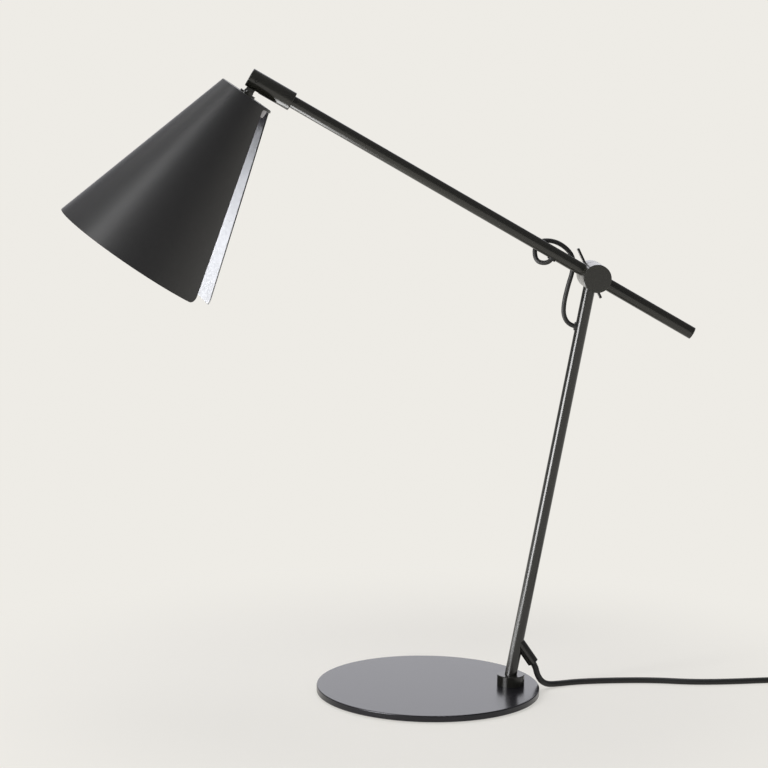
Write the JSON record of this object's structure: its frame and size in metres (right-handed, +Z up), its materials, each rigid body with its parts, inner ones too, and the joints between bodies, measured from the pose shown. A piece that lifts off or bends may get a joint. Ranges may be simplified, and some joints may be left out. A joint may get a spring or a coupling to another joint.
{
  "type": "adjustable desk lamp",
  "caption": "Desk lamp: round base, leaning stem, tilting counterweighted arm with a cross-bar clamp, and a slotted cone shade on a hinge and swivel.",
  "frame": {"origin": "centre of the base's underside, on the surface that the lamp stands on", "axes": "+Z up; +X from the shade towards the arm's tail, level; +Y away from the picture's viewer, along the arm's axle"},
  "size_m": [0.945, 0.22, 0.6083],
  "materials": {
    "black_coat": "satin black powder coat on steel",
    "shade_coat": "spun aluminium, satin black outside and white inside",
    "cup_metal": "plain spun aluminium",
    "steel": "zinc-plated steel",
    "brass": "plain brass",
    "cap_metal": "drawn aluminium screw cap",
    "bulb_glass": "frosted white glass",
    "holder_plastic": "black moulded thermoset",
    "plug_plastic": "black moulded plug",
    "cord_sheath": "black flexible sheath",
    "black_rubber": "black moulded rubber",
    "pad": "black cellular rubber sheet",
    "fibre": "dark friction fibre",
    "tie": "black woven hook-and-loop band"
  },
  "bodies": {
    "stand": {"base_plate": "black_coat", "base_pad": "pad", "collar": "black_coat", "collar_screws": "steel", "stem_tube": "black_coat", "cable_outlet": "black_coat", "outlet_bush": "black_rubber", "stem_hub": "black_coat", "stem_grommet": "black_rubber", "stem_lead": "cord_sheath", "friction_washer": "fibre", "mains_cord": "cord_sheath", "cord_coil": "cord_sheath", "cord_tail": "cord_sheath", "coil_tie": "tie", "plug_body": "plug_plastic", "plug_pins": "brass", "lead_loop": "cord_sheath"},
    "arm": {"arm_hub": "black_coat", "arm_tube": "black_coat", "counterweight_rod": "steel", "tail_plug": "black_coat", "arm_grommet": "black_rubber", "arm_lead": "cord_sheath", "head_block": "black_coat", "block_set_screw": "steel", "hinge_pin": "steel"},
    "clamp": {"clamp_screw": "black_coat", "tommy_bar": "black_coat"},
    "head": {"knuckle": "black_coat", "seat_washer": "black_coat", "spring_washer": "steel", "stud_nut": "steel", "lampholder": "holder_plastic", "thread_shell": "brass", "centre_contact": "brass", "bulb_cap": "cap_metal", "bulb_glass": "bulb_glass"},
    "shade": {"shade": "shade_coat", "shade_cup": "cup_metal"}
  },
  "joints": [
    {"name": "arm_pivot", "type": "hinge", "parent": "stand", "child": "arm", "pos_m": [0.15222, -0.0075, 0.41457], "axis": [0, 1, 0], "range_deg": [-39, 45], "deforming": ["lead_loop"]},
    {"name": "clamp_turn", "type": "hinge", "parent": "arm", "child": "clamp", "pos_m": [0.15222, 0.0166, 0.41457], "axis": [0, 1, 0], "range_deg": [0, 180]},
    {"name": "shade_tilt", "type": "hinge", "parent": "arm", "child": "head", "pos_m": [-0.17314, -0.015, 0.59678], "axis": [0, 1, 0], "range_deg": [-15, 60]},
    {"name": "shade_swivel", "type": "hinge", "parent": "head", "child": "shade", "pos_m": [-0.18179, -0.015, 0.58385], "axis": [0.5563, 0, 0.831], "range_deg": [-180, 180]}
  ]
}
